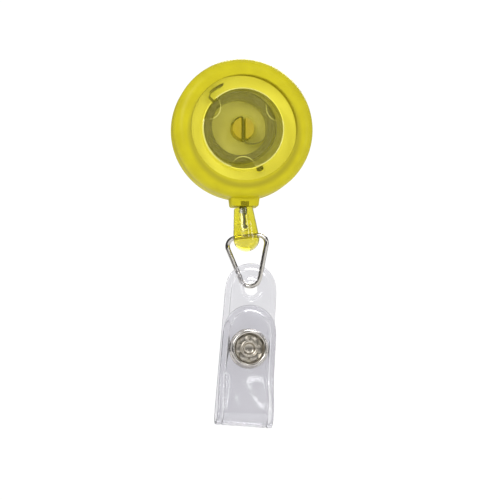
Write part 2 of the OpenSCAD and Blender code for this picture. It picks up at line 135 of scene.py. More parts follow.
def fill(tree, node, inputs):
    """Sets a shader node's inputs, by name or number, to values, or links them to other nodes' outputs."""
    for key, value in inputs.items():
        if isinstance(value, bpy.types.NodeSocket):
            tree.links.new(value, node.inputs[key])
        else:
            node.inputs[key].default_value = value


def add_node(tree, kind, inputs, **settings):
    """A new shader node with some of its inputs and settings."""
    node = tree.nodes.new("ShaderNode" + kind)
    for key, value in settings.items():
        setattr(node, key, value)
    fill(tree, node, inputs)
    return node


def eased(tree, value, edges, levels):
    """Goes smoothly from the first level to the second while a value goes from edge to edge."""
    node = add_node(tree, "MapRange", {"Value": value, "From Min": edges[0], "From Max": edges[1],
                                       "To Min": levels[0], "To Max": levels[1]},
                    interpolation_type="SMOOTHSTEP")
    return node.outputs["Result"]


# --- camera, light and ground ---

CAMERA_AZIMUTH = -8
CAMERA_ELEVATION = -5
CAMERA_DISTANCE = 420
VIEW_CENTRE = Vector((1.9, -MID_D, -27.46))
VIEW_HEIGHT = 113.6


def add_object(name, data, place=(0, 0, 0), aim=None):
    """A new object in the scene, at a place in millimetres, its -Z turned to the direction aim."""
    made = bpy.data.objects.new(name, data)
    made.location = Vector(place) * MM
    if aim is not None:
        made.rotation_mode = "QUATERNION"
        made.rotation_quaternion = aim.to_track_quat("-Z", "Y")
    bpy.context.scene.collection.objects.link(made)
    return made


def add_camera():
    azimuth, elevation = math.radians(CAMERA_AZIMUTH), math.radians(CAMERA_ELEVATION)
    back = Vector((math.sin(azimuth) * math.cos(elevation), -math.cos(azimuth) * math.cos(elevation),
                   math.sin(elevation)))
    data = bpy.data.cameras.new("camera")
    data.sensor_width = 36
    data.lens = data.sensor_width * CAMERA_DISTANCE / VIEW_HEIGHT
    data.clip_start = 0.01
    bpy.context.scene.camera = add_object("camera", data, VIEW_CENTRE + back * CAMERA_DISTANCE, -back)


def add_light(name, place, size, power, target=(0, -6, -30)):
    """A soft box at a place in millimetres, turned to the target."""
    data = bpy.data.lights.new(name, "AREA")
    data.shape = "RECTANGLE"
    data.size, data.size_y = size[0] * MM, size[1] * MM
    data.energy = power
    add_object(name, data, place, Vector(target) - Vector(place))


def add_world():
    """White to the camera. Diffuse light, and light through clear plastic, comes from a pale studio that is
    brighter behind. Reflections see a dark room with three soft windows, for the metal's contrast."""
    world = bpy.data.worlds.new("studio")
    bpy.context.scene.world = world
    world.use_nodes = True
    tree = world.node_tree
    tree.nodes.clear()
    where = add_node(tree, "TexCoord", {}).outputs["Generated"]
    path = add_node(tree, "LightPath", {})

    def glow(direction, edges, levels):
        """A strength that goes from the first level to the second towards a direction."""
        near = add_node(tree, "VectorMath", {0: where, 1: Vector(direction).normalized()},
                        operation="DOT_PRODUCT")
        return eased(tree, near.outputs["Value"], edges, levels)

    def add(a, b):
        return add_node(tree, "Math", {0: a, 1: b}).outputs["Value"]

    def background(strength):
        white = {"Color": (1, 1, 1, 1), "Strength": strength}
        return add_node(tree, "Background", white).outputs["Background"]

    def choose(test, no, yes):
        mix = add_node(tree, "MixShader", {"Fac": path.outputs[test], 1: no, 2: yes})
        return mix.outputs["Shader"]

    soft = background(glow((0, 1, 0), (-0.6, 0.5), (0.5, 1.0)))
    left_window = glow((-0.5, -0.7, 0.5), (0.84, 0.95), (0.05, 1.2))
    top_window = glow((0.1, -0.1, 1), (0.75, 0.93), (0, 0.9))
    right_window = glow((0.9, 0.2, -0.1), (0.9, 0.98), (0, 0.6))
    room = background(add(add(left_window, top_window), right_window))
    # Rays through clear plastic also count as glossy, so their choice overrules that of the glossy ones.
    seen = choose("Is Transmission Ray", choose("Is Glossy Ray", soft, room), soft)
    shown = choose("Is Camera Ray", seen, background(1.05))
    add_node(tree, "OutputWorld", {"Surface": shown})


def add_floor():
    """A plain pale floor, well below the hanging reel."""
    mesh = bpy.data.meshes.new("floor")
    reach, drop = 6, -1.2
    mesh.from_pydata([(x * reach, y * reach, drop) for x, y in ((-1, -1), (1, -1), (1, 1), (-1, 1))],
                     [], [(0, 1, 2, 3)])
    pale = bpy.data.materials.new("floor pale")
    pale.use_nodes = True
    fill(pale.node_tree, pale.node_tree.nodes["Principled BSDF"],
         {"Base Color": (0.95, 0.95, 0.95, 1), "Roughness": 1, "Specular IOR Level": 0,
          "Emission Color": (1, 1, 1, 1), "Emission Strength": 0.35})
    mesh.materials.append(pale)
    floor = add_object("floor", mesh)


add_camera()
add_world()
add_floor()
add_light("key", (-260, -330, 190), (160, 220), 1.0)
add_light("fill", (330, -260, 20), (90, 260), 0.35)
add_light("rim", (120, 300, 220), (260, 160), 1.2)
add_light("window", (128, -420, 190), (62, 300), 0.28, (0, -6, -50))
bpy.context.scene.view_settings.view_transform = "Standard"


# --- materials ---

def material(name, colour, second, pattern, roughness, bump, **settings):
    """A Principled material whose colour and roughness drift between two values with a noise pattern, with
    a finer noise as bump (scale, strength). Scales are per metre. settings are the shader's own sockets."""
    made = bpy.data.materials.new(name)
    made.use_nodes = True
    tree = made.node_tree
    where = add_node(tree, "TexCoord", {}).outputs["Object"]
    drift = add_node(tree, "TexNoise", {"Vector": where, "Scale": pattern, "Detail": 3}).outputs["Fac"]
    ramp = add_node(tree, "ValToRGB", {"Fac": drift})
    low, high = ramp.color_ramp.elements
    low.position, low.color = 0.35, (*colour, 1)
    high.position, high.color = 0.65, (*second, 1)
    rough = add_node(tree, "MapRange", {"Value": drift, "To Min": roughness[0], "To Max": roughness[1]})
    fine = add_node(tree, "TexNoise", {"Vector": where, "Scale": bump[0], "Detail": 4})
    relief = add_node(tree, "Bump", {"Height": fine.outputs["Fac"], "Strength": bump[1],
                                     "Distance": 0.0002})
    inputs = {socket.replace("_", " "): value for socket, value in settings.items()}
    inputs.update({"Base Color": ramp.outputs["Color"], "Roughness": rough.outputs["Result"],
                   "Normal": relief.outputs["Normal"]})
    fill(tree, tree.nodes["Principled BSDF"], inputs)
    return made


def absorbing(made, colour, density):
    """Gives a clear material a tint that deepens with the thickness, per metre."""
    tree = made.node_tree
    inside = add_node(tree, "VolumeAbsorption", {"Color": (*colour, 1), "Density": density})
    fill(tree, tree.nodes["Material Output"], {"Volume": inside.outputs["Volume"]})
    return made


def painted_shade_ring(made, centre, radius, half_width, colour):
    """Darkens a ring of the material about an axis along Y: painted shade. Lengths are in millimetres."""
    tree = made.node_tree
    shader = tree.nodes["Principled BSDF"]
    base = shader.inputs["Base Color"].links[0].from_socket
    where = add_node(tree, "TexCoord", {}).outputs["Object"]
    flat = add_node(tree, "Mapping", {"Vector": where, "Scale": (1, 0, 1),
                                      "Location": (-centre[0] * MM, 0, -centre[1] * MM)})
    reach = add_node(tree, "VectorMath", {0: flat.outputs["Vector"]}, operation="LENGTH")
    off = add_node(tree, "Math", {0: reach.outputs["Value"], 1: radius * MM}, operation="SUBTRACT")
    size = add_node(tree, "Math", {0: off.outputs["Value"]}, operation="ABSOLUTE")
    fade = eased(tree, size.outputs["Value"], (0, half_width * MM), (1, 0))
    mix = add_node(tree, "MixRGB", {"Fac": fade, "Color1": base, "Color2": (*colour, 1)})
    fill(tree, shader, {"Base Color": mix.outputs["Color"]})
    return made


# The frosted shoulder, with painted shade: a darker crescent just outside the window, widest below it, as
# its ring is centred 1.1 mm low.
FROST = painted_shade_ring(
    material("case frosted yellow", (0.56, 0.495, 0.007), (0.51, 0.445, 0.006), 300, (0.36, 0.48),
             (5000, 0.12), Alpha=0.95, Specular_IOR_Level=0.2),
    centre=(0, -1.1), radius=12.15, half_width=1.3, colour=(0.37, 0.32, 0.012))
WINDOW = material("case window", (0.70, 0.63, 0.02), (0.66, 0.59, 0.015), 300, (0.35, 0.45), (3000, 0.03),
                  Alpha=0.10, Specular_IOR_Level=0.2)
MOUTH = material("case thin yellow", (0.72, 0.62, 0.015), (0.66, 0.56, 0.012), 300, (0.30, 0.42),
                 (4000, 0.08), Alpha=0.28, Specular_IOR_Level=0.2)
BACK = material("case back yellow", (0.56, 0.49, 0.010), (0.52, 0.45, 0.008), 300, (0.36, 0.48),
                (5000, 0.12), Specular_IOR_Level=0.2)
CLIP = material("belt clip yellow", (0.56, 0.49, 0.012), (0.52, 0.45, 0.010), 300, (0.36, 0.48),
                (5000, 0.12), Alpha=0.9, Specular_IOR_Level=0.25)
POST = material("post yellow", (0.43, 0.31, 0.006), (0.37, 0.265, 0.005), 600, (0.3, 0.4), (4000, 0.05))
# The spool's plastic outside the drum glows a little: painted light, which brightens the ring around the
# drum.
FLANGE = material("spool plastic", (0.90, 0.85, 0.11), (0.86, 0.81, 0.10), 400, (0.4, 0.5), (4000, 0.06),
                  Emission_Color=(0.9, 0.83, 0.07, 1), Emission_Strength=0.32)
# The same spool plastic inside the drum, painted darker: painted shade.
SHADED_WEB = material("spool plastic in the drum", (0.58, 0.53, 0.075), (0.50, 0.46, 0.06), 500, (0.4, 0.5),
               (4000, 0.06))
CLEAR = material("clear plastic", (0.80, 0.78, 0.35), (0.78, 0.76, 0.30), 400, (0.2, 0.3), (2000, 0.02),
                 Alpha=0.03, Specular_IOR_Level=0.2)
# Bright, nearly opaque yellow for the cover's edges: a painted highlight.
EDGE = material("clear plastic edge with painted highlight", (0.98, 0.95, 0.35), (0.95, 0.92, 0.30), 400, (0.1, 0.2), (2000, 0.02),
                Alpha=0.8)
STEEL = material("spring steel", (0.075, 0.07, 0.045), (0.04, 0.038, 0.026), 900, (0.35, 0.5), (6000, 0.1),
                 Metallic=0.5)
CORD = material("black cord", (0.008, 0.008, 0.008), (0.022, 0.022, 0.02), 5000, (0.55, 0.8), (9000, 0.6),
                Specular_IOR_Level=0.25)
NICKEL = material("nickel", (0.60, 0.575, 0.535), (0.52, 0.495, 0.455), 700, (0.10, 0.20), (5000, 0.05),
                  Metallic=1.0)
DARK_NICKEL = material("nickel in shade", (0.58, 0.54, 0.47), (0.46, 0.42, 0.36), 900, (0.22, 0.36),
                       (5000, 0.1), Metallic=1.0)
SHADE = material("nickel in the cup", (0.40, 0.37, 0.31), (0.30, 0.275, 0.22), 900, (0.3, 0.45),
                 (5000, 0.1), Metallic=1.0)
AMBER = absorbing(
    material("glossy clear yellow", (0.93, 0.90, 0.42), (0.88, 0.84, 0.30), 900, (0.08, 0.2), (1100, 0.35),
             Transmission_Weight=0.95, IOR=1.2, Coat_Weight=1.0, Coat_Roughness=0.06),
    (0.93, 0.905, 0.05), 700)
VINYL = absorbing(
    material("clear vinyl", (0.85, 0.845, 0.865), (0.82, 0.815, 0.84), 120, (0.06, 0.16), (700, 0.05),
             Transmission_Weight=0.93, IOR=1.45),
    (0.80, 0.80, 0.84), 420)


# --- mesh helpers ---

def piece(name, verts, faces, place, paint, slot, smooth=40):
    """A mesh object in the row frame from points in millimetres. paint is one material, or several with
    a function from a face's centre, in millimetres before it is placed, to the material's number."""
    paints, chooser = paint if isinstance(paint, tuple) else ([paint], None)
    mesh = bpy.data.meshes.new(name)
    mesh.from_pydata([tuple(v) for v in verts], [], faces)
    for each in paints:
        mesh.materials.append(each)
    if chooser:
        for polygon in mesh.polygons:
            polygon.material_index = chooser(polygon.center)
    mesh.transform(place)
    shape = bmesh.new()
    shape.from_mesh(mesh)
    bmesh.ops.remove_doubles(shape, verts=shape.verts, dist=1e-7)
    bmesh.ops.recalc_face_normals(shape, faces=shape.faces)
    shape.to_mesh(mesh)
    shape.free()
    mesh.shade_smooth()
    mesh.set_sharp_from_angle(angle=math.radians(smooth))
    made = add_object(name, mesh)
    return made


def combine(made, tools, operation, smooth=40):
    """Applies a boolean of each tool to the object, and removes the tools."""
    for tool in tools:
        step = made.modifiers.new("cut", "BOOLEAN")
        step.operation, step.solver, step.object = operation, "EXACT", tool
        graph = bpy.context.evaluated_depsgraph_get()
        mesh = bpy.data.meshes.new_from_object(made.evaluated_get(graph))
        made.modifiers.clear()
        made.data = mesh
        bpy.data.objects.remove(tool)
    made.data.shade_smooth()
    made.data.set_sharp_from_angle(angle=math.radians(smooth))


def polar(radius, angle, *height):
    """The point at a radius and an angle in radians, with its height if one is given."""
    return (radius * math.cos(angle), radius * math.sin(angle), *height)


def arc(centre, radius, start, end, steps):
    """Points on an arc in a plane, between two angles in degrees."""
    angles = np.radians(np.linspace(start, end, steps + 1))
    return [(centre[0] + radius * math.cos(a), centre[1] + radius * math.sin(a)) for a in angles]


def softened(outline, radius, steps=3):
    """A closed outline with its sharp corners rounded, apart from those on the axis."""
    soft = []
    count = len(outline)
    for i, point in enumerate(outline):
        here = Vector(point)
        before, after = Vector(outline[i - 1]) - here, Vector(outline[(i + 1) % count]) - here
        turn = before.angle(after, math.pi)
        if here.x < 1e-6 or turn > math.radians(150):
            soft.append(tuple(here))
            continue
        cut = min(radius / math.tan(turn / 2), before.length * 0.45, after.length * 0.45)
        a, b = here + before.normalized() * cut, here + after.normalized() * cut
        for k in range(steps + 1):
            t = k / steps
            soft.append(tuple(a * (1 - t) ** 2 + here * 2 * t * (1 - t) + b * t ** 2))
    return soft


def bridged(rings, count, closed=False):
    """Faces between neighbouring rings of count points, and from the last ring to the first if closed."""
    faces = []
    for ring in range(rings if closed else rings - 1):
        here, after = ring * count, (ring + 1) % rings * count
        for k in range(count):
            n = (k + 1) % count
            faces.append((here + k, here + n, after + n, after + k))
    return faces


def revolved(outline, segments):
    """Verts and faces of a closed [radius, height] outline turned about z."""
    verts, faces, rings = [], [], []
    for radius, height in outline:
        if radius < 1e-6:
            rings.append([len(verts)] * segments)
            verts.append((0, 0, height))
        else:
            rings.append(range(len(verts), len(verts) + segments))
            angles = np.linspace(0, 2 * math.pi, segments, endpoint=False)
            verts += [polar(radius, a, height) for a in angles]
    for a, b in zip(rings, rings[1:] + rings[:1]):
        for k in range(segments):
            n = (k + 1) % segments
            corners = list(dict.fromkeys((a[k], a[n], b[n], b[k])))
            if len(corners) > 2:
                faces.append(corners)
    return verts, faces


def swept(path, radius, sides, closed=False):
    """Verts and faces of a round tube along a path in space."""
    points = [Vector(p) for p in path]
    count = len(points)
    verts = []
    side = None
    for i, point in enumerate(points):
        if closed:
            along = (points[(i + 1) % count] - points[i - 1]).normalized()
        else:
            along = (points[min(i + 1, count - 1)] - points[max(i - 1, 0)]).normalized()
        if side is None:
            side = along.orthogonal().normalized()
        side = (side - along * side.dot(along)).normalized()
        other = along.cross(side)
        for k in range(sides):
            a = 2 * math.pi * k / sides
            verts.append(point + (side * math.cos(a) + other * math.sin(a)) * radius)
    faces = bridged(count, sides, closed)
    if not closed:
        faces.append(tuple(range(sides))[::-1])
        faces.append(tuple((count - 1) * sides + k for k in range(sides)))
    return verts, faces


def smooth_path(points, steps):
    """A Catmull-Rom curve through the points, in a number of steps between each two."""
    points = [Vector(p) for p in points]
    padded = [points[0] * 2 - points[1]] + points + [points[-1] * 2 - points[-2]]
    out = []
    for a, b, c, d in zip(padded, padded[1:], padded[2:], padded[3:]):
        for k in range(steps):
            t = k / steps
            out.append(0.5 * ((2 * b) + (c - a) * t + (2 * a - 5 * b + 4 * c - d) * t ** 2
                              + (3 * b - a - 3 * c + d) * t ** 3))
    return out + [points[-1]]


def prism(outline, low, high):
    """Verts and faces of a flat outline raised between two heights."""
    count = len(outline)
    verts = [(x, y, low) for x, y in outline] + [(x, y, high) for x, y in outline]
    return verts, [tuple(range(count))[::-1], tuple(range(count, 2 * count))] + bridged(2, count)


def merged(*shapes):
    """Several verts-and-faces pairs as one."""
    verts, faces = [], []
    for more_verts, more_faces in shapes:
        faces += [tuple(i + len(verts) for i in face) for face in more_faces]
        verts += list(more_verts)
    return verts, faces


def rounded_box(width, height, low, high, radius):
    """Verts and faces of a block with round upright edges."""
    x, y = width / 2 - radius, height / 2 - radius
    outline = []
    for k, corner in enumerate(((x, y), (-x, y), (-x, -y), (x, -y))):
        outline += arc(corner, radius, 90 * k, 90 * k + 90, 6)
    return prism(outline, low, high)


# --- case ---

def neck(outward):
    """Half of the cord's neck, in front of the parting plane (outward 1) or behind it (outward -1): a
    tapering block that is square at the plane and round outside."""
    top_half, end_half, edge = 3.5, 3.1, 0.8
    flat_d = MID_D + outward * (NECK_HALF_D - edge)
    mouth_half = top_half + (end_half - top_half) * (MOUTH_Z - NECK_TOP_Z) / (NECK_END_Z - NECK_TOP_Z)
    rows = []
    for z, half in ((NECK_TOP_Z, top_half), (MOUTH_Z, mouth_half), (NECK_END_Z + 0.25, end_half + 0.03),
                    (NECK_END_Z, end_half - 0.2)):
        right = arc((NECK_X + half - edge, flat_d), edge, 0, 90 * outward, 5)
        left = arc((NECK_X - half + edge, flat_d), edge, 90 * outward, 180 * outward, 5)
        strip = [(EXIT_X + side * MOUTH_HALF, MID_D + outward * NECK_HALF_D) for side in (1, -1)]
        section = [(NECK_X + half, MID_D)] + right + strip + left + [(NECK_X - half, MID_D)]
        rows.append([(x, -d, z) for x, d in section])
    count = len(rows[0])
    faces = [tuple(range(count)), tuple(range(3 * count, 4 * count))[::-1]]
    return [v for row in rows for v in row], faces + bridged(4, count)


def neck_bore():
    """The cord's bore, with a wider mouth for the knot."""
    cord_r, mouth_r, lip_r = 0.6, 1.15, 1.3
    rises = [(0, -1), (lip_r, -1), (mouth_r, 0.1), (mouth_r, 1.2), (cord_r, 1.4), (cord_r, 4.4), (0, 4.4)]
    verts, faces = revolved([(radius, NECK_END_Z + rise) for radius, rise in rises], 32)
    return [(x + EXIT_X, y - MID_D, z) for x, y, z in verts], faces


# The numbers of a shell's three materials: its wall, its window and bore, and the strip before the knot.
WALL, OPENING, STRIP = range(3)


def rim_lip(lip_r, lip_end_d, from_d, gap):
    """The outline of a shell's rim, from the outer wall to the cavity's: the front's lip, or the back's seat
    for it. The first and last corners only give the walls' directions, and are cut off again."""
    plane_d = MID_D + gap
    return softened([(CASE_R, from_d), (CASE_R, plane_d), (lip_r, plane_d), (lip_r, lip_end_d),
                     (CAVITY_R, lip_end_d), (CAVITY_R, from_d)], 0.05, 2)[3:-3]


def shell(name, outline, outward, paints, chooser):
    """One half of the case with its half of the neck, which is clearer in front of the knot."""
    made = piece(name, *revolved(outline, 192), REEL, (paints, chooser), "case_yellow")

    def strip(centre):
        in_strip = abs(centre.x - EXIT_X) < 0.1 and centre.z < MOUTH_Z
        return STRIP if in_strip and centre.y < -MID_D - NECK_HALF_D + 0.1 else WALL

    block = piece("block", *neck(outward), ROW, (paints, strip), "case_yellow")
    bore = piece("bore", *neck_bore(), ROW, (paints, lambda centre: OPENING), "case_yellow")
    combine(made, [block], "UNION")
    combine(made, [bore], "DIFFERENCE")
    return made


def front_shell():
    shoulder_r, floor_d, corner_r = 2.6, 9.4, 1.4
    outline = softened([(0, RECESS_D), (RECESS_R - 0.1, RECESS_D), (RECESS_R + 0.15, FRONT_D - 0.02)], 0.12)
    outline += arc((CASE_R - shoulder_r, FRONT_D - shoulder_r), shoulder_r, 90, 0, 12)
    outline += rim_lip(15.25, MID_D - 1.2, 7, 0.01)
    outline += arc((CAVITY_R - corner_r, floor_d - corner_r), corner_r, 0, 90, 8) + [(0, floor_d)]

    def window(centre):
        return OPENING if centre.xy.length < RECESS_R - 0.2 else WALL

    made = shell("front_shell_skin", outline, 1, [FROST, WINDOW, MOUTH], window)
    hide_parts("front_shell")
    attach(made, "case")


def split_post():
    """The fixed post, split where the spring hooks on."""
    foot_d, end_d, slot_d, half_slot = 2.3, 9.1, 5.9, 0.5
    outline = softened([(0, foot_d), (POST_R, foot_d), (POST_R, end_d), (0, end_d)], 0.25)
    post = piece("back_post", *revolved(outline, 64), REEL, POST, "case_yellow")
    across = [(-half_slot, -4), (half_slot, -4), (half_slot, 4), (-half_slot, 4)]
    slot = piece("slot", *prism(across, slot_d, 10), REEL, POST, "case_yellow")
    combine(post, [slot], "DIFFERENCE", 30)
    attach(post, "case")


def back_shell():
    edge_r, floor_d, corner_r = 2, 2.4, 1
    outline = [(0, BACK_D)] + arc((CASE_R - edge_r, BACK_D + edge_r), edge_r, -90, 0, 10)
    outline += rim_lip(15.3, MID_D - 1.25, 4, -0.01)
    outline += arc((CAVITY_R - corner_r, floor_d + corner_r), corner_r, 0, -90, 6) + [(0, floor_d)]
    # The back is one material throughout, its bore and its strip too.
    made = shell("back_shell_skin", outline, -1, [BACK, BACK, BACK], lambda centre: WALL)
    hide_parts("back_shell")
    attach(made, "case")
    head = [(0, 1.3), (1, 1.3), (1, 0.5), (1.7, 0.45), (1.55, 0.2), (1.0, 0.12), (0, 0.1)]
    verts, faces = revolved(softened(head, 0.1), 40)
    for k, z in enumerate(STAKE_Z):
        raised = [(x, y + z, d) for x, y, d in verts]
        stake = piece(f"clip_stake_{k}", raised, faces, REEL, CLIP, "case_yellow")
        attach(stake, "case")
    split_post()


def belt_clip():
    """Plate, bend and tongue as one moulding."""
    width, gap, plate_t, tongue_t = 12, 4.3, 1.2, 1.3
    top, low = 11, -10
    bend_r = (gap + plate_t + tongue_t) / 2
    centre_y = bend_r - plate_t
    outer = arc((centre_y, top), bend_r, 180, 0, 20)
    inner = arc((centre_y, top), gap / 2, 0, 180, 20)
    back = gap + tongue_t
    # The tongue's two long faces have many points.
    rows_down = [(back, z) for z in range(9, -10, -2)]
    rows_up = [(gap, z) for z in (-7.4, -5, -3, -1, 1, 3, 5, 7, 9)]
    tip = [(back, -10), (back + 1, -12.7), (back + 0.9, -13), (gap + 1.6, -13), (gap + 1.3, -12.4)]
    bead = arc((gap + 0.6, -9.1), 1.4, 230, 120, 8)
    plate_in = [(0.0, 10.9), (0.0, 5), (0.0, 0), (0.0, -5), (0.0, low + 0.25), (-0.25, low)]
    plate_out = [(-plate_t + 0.25, low), (-plate_t, low + 0.25), (-plate_t, 0), (-plate_t, 10.9)]
    outline = outer + rows_down + tip + bead + rows_up + inner + plate_in + plate_out
    count = len(outline)
    half, edge = width / 2, 0.25
    verts = []
    for x, inset in ((-half, edge), (-half + edge, 0), (half - edge, 0), (half, edge)):
        for k, (y, z) in enumerate(outline):
            before, after = Vector(outline[k - 1]), Vector(outline[(k + 1) % count])
            along = (after - before).normalized()
            verts.append((x, y - along.y * inset * 0.8, z + along.x * inset * 0.8))
    faces = bridged(4, count) + [tuple(range(count)), tuple(range(3 * count, 4 * count))[::-1]]
    made = piece("belt_clip_skin", verts, faces, ROW, CLIP, "case_yellow", 35)
    stake_r, head_r, seat_d = 1.03, 1.73, 0.55
    hole, hole_faces = revolved([(0, -2), (head_r, -2), (head_r, seat_d), (stake_r, seat_d), (stake_r, 2),
                                 (0, 2)], 40)
    holes = []
    for z in STAKE_Z:
        raised = [(x, y + z, d) for x, y, d in hole]
        holes.append(piece("hole", raised, hole_faces, REEL, CLIP, "case_yellow"))
    combine(made, holes, "DIFFERENCE", 35)
    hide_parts("belt_clip", "belt_clip_tongue")
    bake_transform(made)


# --- spool, spring and wound cord ---

def spool():
    """Two flanges with the cord between them, and the spring's drum on the front one."""
    bore, rear_d, front_d, drum_d = POST_R + 0.06, 2.65, 5.9, 8.8
    low, high = GROOVE_D
    outline = softened([
        (bore, rear_d), (FLANGE_R, rear_d), (FLANGE_R, low), (CORE_R, low), (CORE_R, high), (FLANGE_R, high),
        (FLANGE_R, front_d), (DRUM_R, front_d), (DRUM_R, drum_d), (DRUM_WALL_R, drum_d),
        (DRUM_WALL_R, front_d), (bore, front_d)], 0.05, 2)

    # Faces inside the drum take the darker copy of the plastic, painted shade; the rest take the glowing
    # copy, painted light.
    def inside_drum(centre):
        return 1 if centre.xy.length < DRUM_WALL_R + 0.02 else 0

    def cut(angle, radii, half, depths):
        """A block across the drum's wall at an angle in degrees, of a half width, between two depths."""
        start, end = radii
        block = prism([(start, -half), (end, -half), (end, half), (start, half)], *depths)
        turn = REEL @ Matrix.Rotation(math.radians(angle), 4, "Z")
        return piece("cut", *block, turn, FLANGE, "spool_plastic")

    made = piece("spool_body", *revolved(outline, 160), REEL, ([FLANGE, SHADED_WEB], inside_drum), "spool_plastic")
    spring_slot = cut(138, (7.5, 10.5), 0.65, (6, 10))
    knot_notch = cut(KNOT_ANGLE, (8.85, 10.45), 0.85, (5.1, 7.6))
    combine(made, [spring_slot, knot_notch], "DIFFERENCE", 30)
    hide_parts("spool")
    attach(made, "reel")


def spring_cover():
    """Thin clear disc with three scallops, whose edge is painted bright: a painted highlight."""
    outer_r, hole_r, scallop_r, scallop_at = 9.35, 3.2, 2.9, 9.5
    steps = 240
    inner, outer = [], []
    for k in range(steps):
        a = 2 * math.pi * k / steps
        reach = outer_r
        for middle in (30, 150, 270):
            off = a - math.radians(middle)
            across = scallop_at * math.sin(off)
            if math.cos(off) > 0 and abs(across) < scallop_r:
                reach = min(reach, scallop_at * math.cos(off) - math.sqrt(scallop_r ** 2 - across ** 2))
        outer.append(polar(reach, a))
        inner.append(polar(hole_r, a))
    low, high, bevel, mean_r = 8.82, 9.1, 0.26, 9
    rings = ((inner, 0, low), (outer, 0.08, low), (outer, 0, low + 0.06), (outer, 0, high - 0.16),
             (outer, bevel, high), (inner, 0, high))
    verts = []
    for ring, inset, depth in rings:
        verts += [(x * (1 - inset / mean_r), y * (1 - inset / mean_r), depth) for x, y in ring]

    # The side faces, round the rim and the hole, take the bright material, a painted highlight; the flat
    # faces stay clear.
    def edge(centre):
        return 0 if min(abs(centre.z - low), abs(centre.z - high)) < 0.01 else 1

    made = piece("spring_cover_disc", verts, bridged(len(rings), steps, True), REEL, ([CLEAR, EDGE], edge),
                 "clear_plastic")
    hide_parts("spring_cover")
    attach(made, "reel")


def spring_path():
    """The mainspring's middle line: hook, arm through the slot, the coils, and the folded tongue."""
    hook = arc((0, 0), POST_R + 0.3, 155, 102, 10)
    arm = smooth_path([(x, y, 0) for x, y in (
        (-0.3, 2.74), (-0.05, 2.5), (0, 1.6), (0, 0), (0, -1.8), (0.1, -2.55), (0.6, -2.95), (1.4, -3.2),
        (2.5, -3.3), (3.6, -3.05), (4.7, -2.35), (5.4, -1.25))], 5)
    turns, first, last = 13, -12, 134
    inner, outer = 6.3, 8.3
    off_x, off_y = -0.8, 0.35
    steps = turns * 72
    coils = []
    for k in range(steps):
        f = k / steps
        angle = math.radians(first + f * (360 * turns + last - first))
        # The turns are spaced widest at the pack's outer and inner side, and closest in its middle.
        u = 2 * f - 1
        radius = (inner + outer) / 2 + (outer - inner) / 2 * (0.6 * u + 0.4 * u ** 3)
        radius += 0.04 * math.sin(3 * angle + 9 * f)
        # The pack lies off the axis, and its last tenth comes back towards the drum's slot.
        shift = 1 - max(0, f - 0.9) * 4
        coils.append((off_x * shift + radius * math.cos(angle), off_y * shift + radius * math.sin(angle)))
    tongue = [polar(radius, math.radians(137)) for radius in (8.75, 9.3, 9.9, 10.5)]
    tongue += arc((0, 0), 10.9, 133, 115, 8) + arc((0, 0), 11.25, 114, 132, 8)
    return hook + [(p.x, p.y) for p in arm] + coils + tongue


def mainspring():
    path = [Vector(p) for p in spring_path()]
    count = len(path)
    thick, low, high = 0.12, 6.1, 8.6
    verts = []
    for i, point in enumerate(path):
        along = (path[min(i + 1, count - 1)] - path[max(i - 1, 0)]).normalized()
        side = Vector((-along.y, along.x)) * thick / 2
        for s, d in ((-1, low), (1, low), (1, high), (-1, high)):
            verts.append((point.x + s * side.x, point.y + s * side.y, d))
    faces = bridged(count, 4)
    faces.append((3, 2, 1, 0))
    faces.append(tuple(4 * (count - 1) + k for k in range(4)))
    made = piece("mainspring_strip", verts, faces, REEL, STEEL, "spring_steel", 30)
    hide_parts("mainspring")
    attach(made, "reel")


def cord_winding():
    """The wound cord: three turns on each of four layers, and one last turn, laid layer by layer."""
    steps = 60
    turns_wide = 3
    rise = 0.25              # the part of a turn in which the cord climbs to the next layer
    middle_d = sum(GROOVE_D) / 2
    low, high = GROOVE_D[0] + CORD_R + 0.01, GROOVE_D[1] - CORD_R - 0.01
    pitch = (high - low) / (turns_wide - 1)
    total = turns_wide * len(LAYER_R) + 1
    path = []
    for k in range(total * steps + 1):
        turn = k / steps
        layer = min(int(turn // turns_wide), len(LAYER_R))
        within = turn - layer * turns_wide
        if layer < len(LAYER_R):
            lane = min(max(within - 0.5, 0), turns_wide - 1)
            radius = LAYER_R[layer]
            if within > turns_wide - rise:
                after = LAYER_R[layer + 1] if layer + 1 < len(LAYER_R) else LAST_TURN_R
                lift = (within - turns_wide + rise) / rise
                radius += (after - radius) * lift * lift * (3 - 2 * lift)
            depth = low + pitch * lane if layer % 2 == 0 else high - pitch * lane
        else:
            radius, depth = LAST_TURN_R, low + (middle_d - low) * min(within * 2, 1)
        angle = math.radians(LEAVE_ANGLE + 360 * (turn - total))
        path.append(polar(radius, angle, depth))
    made = piece("cord_wound", *swept(path, CORD_R, 8), REEL, CORD, "black_cord", 80)
    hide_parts("cord_winding")
    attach(made, "reel")


def anchor_knot():
    """A small overhand knot of the cord's inner end, in the drum's notch."""
    loop = []
    for k in range(49):
        t = 2 * math.pi * k / 48
        loop.append((DRUM_R + 0.25 + 0.36 * math.cos(2 * t), 0.5 * math.sin(3 * t),
                     6.6 + 0.36 * math.cos(3 * t)))
    tail = smooth_path([(DRUM_R + 0.1, 0.1, 6.3), (DRUM_R + 0.05, 0.05, 5.8), (DRUM_R - 0.1, 0, 5.25)], 4)
    turn = REEL @ Matrix.Rotation(math.radians(KNOT_ANGLE), 4, "Z")
    knot_shape = merged(swept(loop, 0.36, 8), swept(tail, 0.3, 8))
    made = piece("cord_knot_inside", *knot_shape, turn, CORD, "black_cord", 80)
    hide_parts("cord_anchor_knot")
    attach(made, "reel")


# --- cord ---

INNER_RUN = [
    (-6.9, -4.3, -5.45), (-5.6, -4.35, -7.1), (-4.3, -4.45, -8.8), (-2.95, -4.65, -10.7), (-1.9, -4.85, -12),
    (-0.9, -5.3, -13.1), (-0.15, -5.7, -13.95), (0.2, -5.9, -14.6), (0.33, -5.98, -15.1),
    (EXIT_X, -MID_D, -15.7)]
STOPPER_TOP_Z = -16.75


